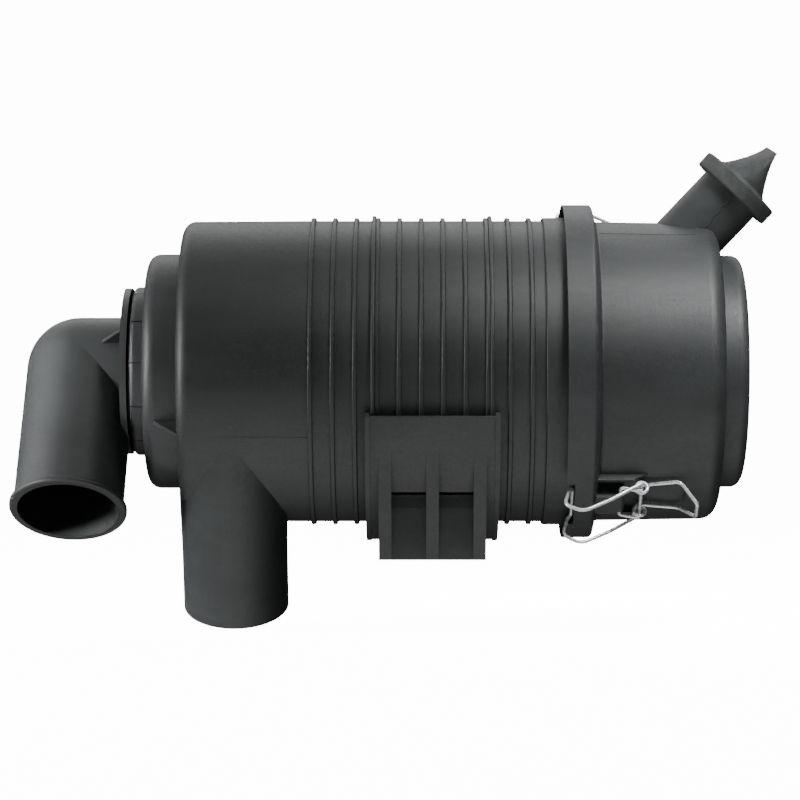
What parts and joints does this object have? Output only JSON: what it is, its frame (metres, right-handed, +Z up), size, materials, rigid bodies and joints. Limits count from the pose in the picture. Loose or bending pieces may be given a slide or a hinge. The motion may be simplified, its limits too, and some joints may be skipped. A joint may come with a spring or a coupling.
{
  "type": "air filter housing",
  "caption": "Cylindrical two-stage dry air filter housing with ribbed body, clipped service cover, dust valve, inlet pipe, swivelling outlet elbow and moulded foot bracket.",
  "frame": {"origin": "centre of the mounting foot's underside", "axes": "+X along the housing from the outlet end to the service cover, +Z up, away from the foot; the front with the visible latch faces -Y"},
  "size_m": [0.5762, 0.254, 0.3665],
  "materials": {
    "body_plastic": "moulded, fine grain",
    "elbow_plastic": "moulded, fine grain",
    "cover_plastic": "moulded, fine grain",
    "bracket_plastic": "moulded, fine grain",
    "valve_rubber": "matte moulded rubber",
    "seal_rubber": "smooth rubber",
    "zinc_wire": "bright zinc-plated spring wire",
    "brass_insert": "turned",
    "element_cap": "cast polyurethane",
    "liner_steel": "galvanised expanded sheet",
    "filter_media": "pleated cellulose paper",
    "safety_media": "non-woven felt"
  },
  "bodies": {
    "housing": {"housing_body": "body_plastic", "guide_tube": "body_plastic", "outlet_collar": "body_plastic", "mounting_bracket": "bracket_plastic", "bracket_inserts": "brass_insert", "primary_seal_cap": "element_cap", "primary_outer_liner": "liner_steel", "primary_media": "filter_media", "primary_inner_liner": "liner_steel", "primary_end_cap": "element_cap", "safety_seal_cap": "element_cap", "safety_media": "safety_media", "safety_liner": "liner_steel", "safety_end_cap": "element_cap"},
    "cover": {"service_cover": "cover_plastic", "cover_seal": "seal_rubber", "cover_baffle": "cover_plastic", "dust_valve": "valve_rubber"},
    "elbow": {"outlet_elbow": "elbow_plastic", "elbow_seal": "seal_rubber"},
    "lever_front": {"latch_lever_front": "zinc_wire"},
    "hook_front": {"latch_hook_front": "zinc_wire"},
    "lever_rear": {"latch_lever_rear": "zinc_wire"},
    "hook_rear": {"latch_hook_rear": "zinc_wire"}
  },
  "joints": [
    {"name": "cover_slide", "type": "slide", "parent": "housing", "child": "cover", "axis": [1, 0, 0], "range_m": [0, 0.15]},
    {"name": "elbow_swivel", "type": "hinge", "parent": "housing", "child": "elbow", "pos_m": [-0.2683, 0, 0.1407], "axis": [1, 0, 0], "continuous": true},
    {"name": "lever_front_pivot", "type": "hinge", "parent": "cover", "child": "lever_front", "pos_m": [0.1392, -0.0726, 0.04365], "axis": [0, 0.8007, -0.599], "range_deg": [0, 140]},
    {"name": "hook_front_pivot", "type": "hinge", "parent": "lever_front", "child": "hook_front", "pos_m": [0.1546, -0.07176, 0.04477], "axis": [0, 0.8007, -0.599], "range_deg": [-155, 0]},
    {"name": "lever_rear_pivot", "type": "hinge", "parent": "cover", "child": "lever_rear", "pos_m": [0.1392, 0.0726, 0.23775], "axis": [0, -0.8007, 0.599], "range_deg": [0, 140]},
    {"name": "hook_rear_pivot", "type": "hinge", "parent": "lever_rear", "child": "hook_rear", "pos_m": [0.1546, 0.07176, 0.23663], "axis": [0, -0.8007, 0.599], "range_deg": [-155, 0]}
  ],
  "couplings": [
    {"joint": "hook_front_pivot", "follows": "lever_front_pivot", "ratio": -1.1},
    {"joint": "hook_rear_pivot", "follows": "lever_rear_pivot", "ratio": -1.1}
  ]
}
